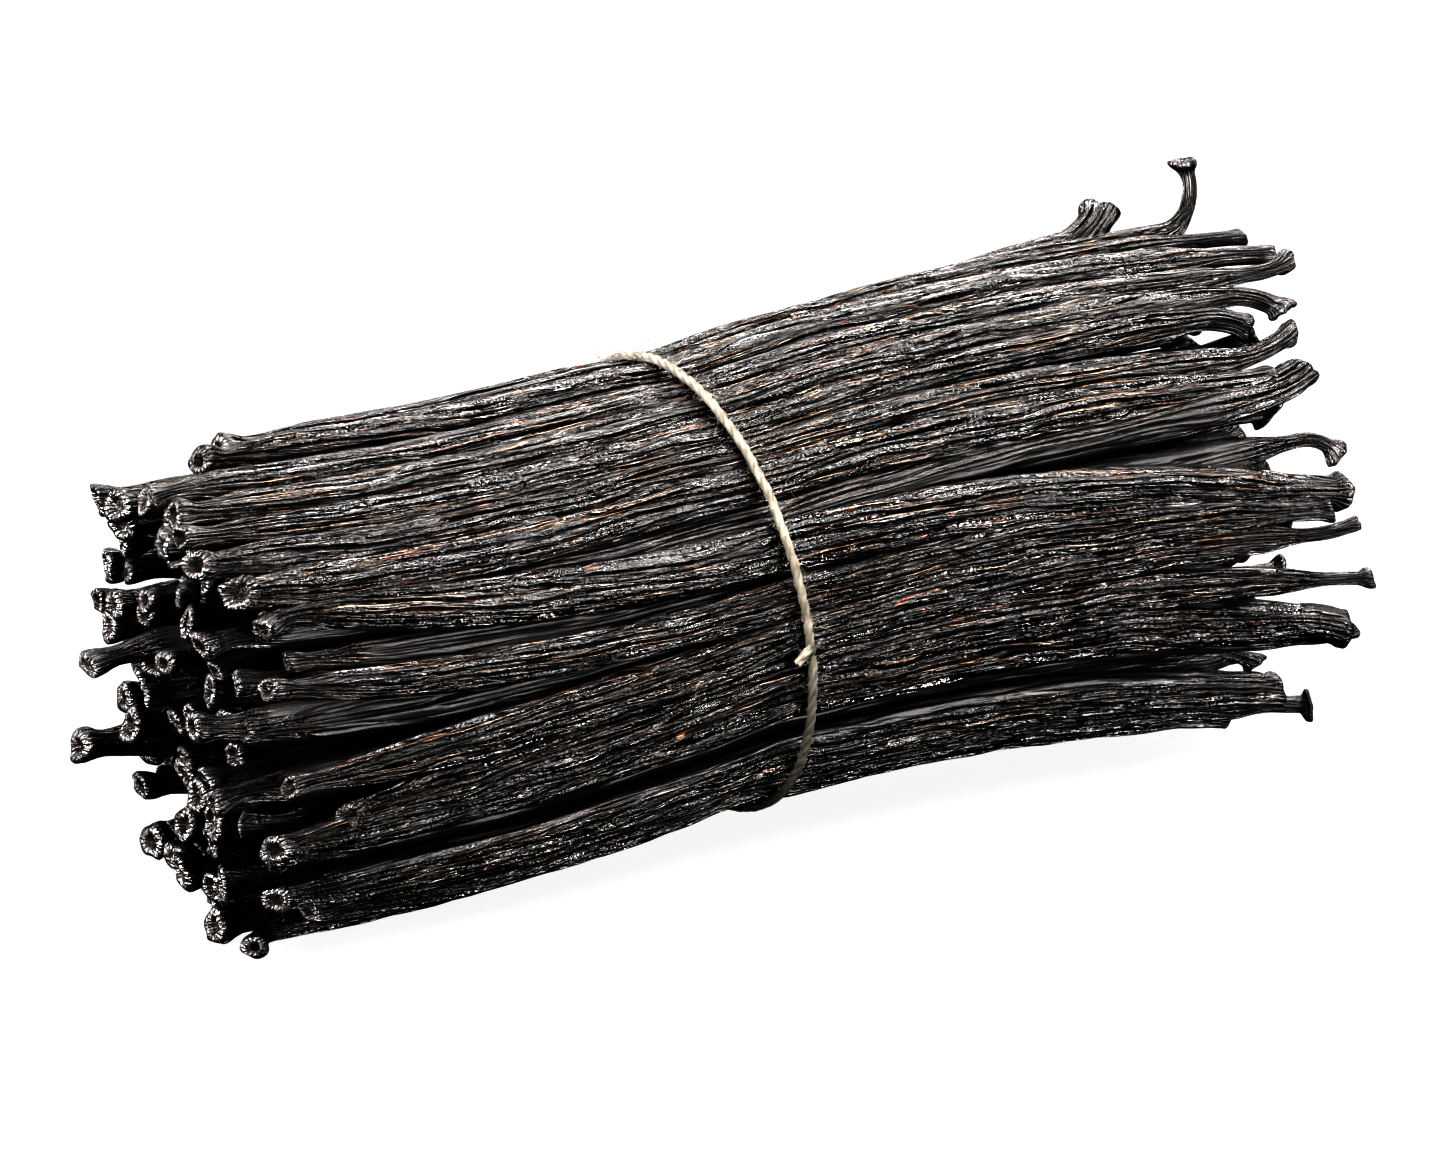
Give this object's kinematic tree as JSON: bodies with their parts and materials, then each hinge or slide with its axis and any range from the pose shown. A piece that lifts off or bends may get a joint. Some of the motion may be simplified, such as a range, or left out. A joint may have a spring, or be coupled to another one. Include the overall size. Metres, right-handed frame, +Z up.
{
  "type": "bundle of vanilla pods",
  "caption": "Round bundle of long dark cured vanilla pods lying on its side, tied at the waist with one loop of pale twine.",
  "frame": {"origin": "middle of the bundle's footprint, on the surface it lies on", "axes": "+X along the pods towards their stem ends, +Z up, the side with the twine's cut end faces -Y"},
  "size_m": [0.1884, 0.0758, 0.0799],
  "materials": {
    "pod_skin": "oily, wrinkled lengthwise",
    "twine_fibre": "plied, slightly hairy"
  },
  "bodies": {
    "root": {"pods": "pod_skin", "twine": "twine_fibre"}
  },
  "joints": []
}
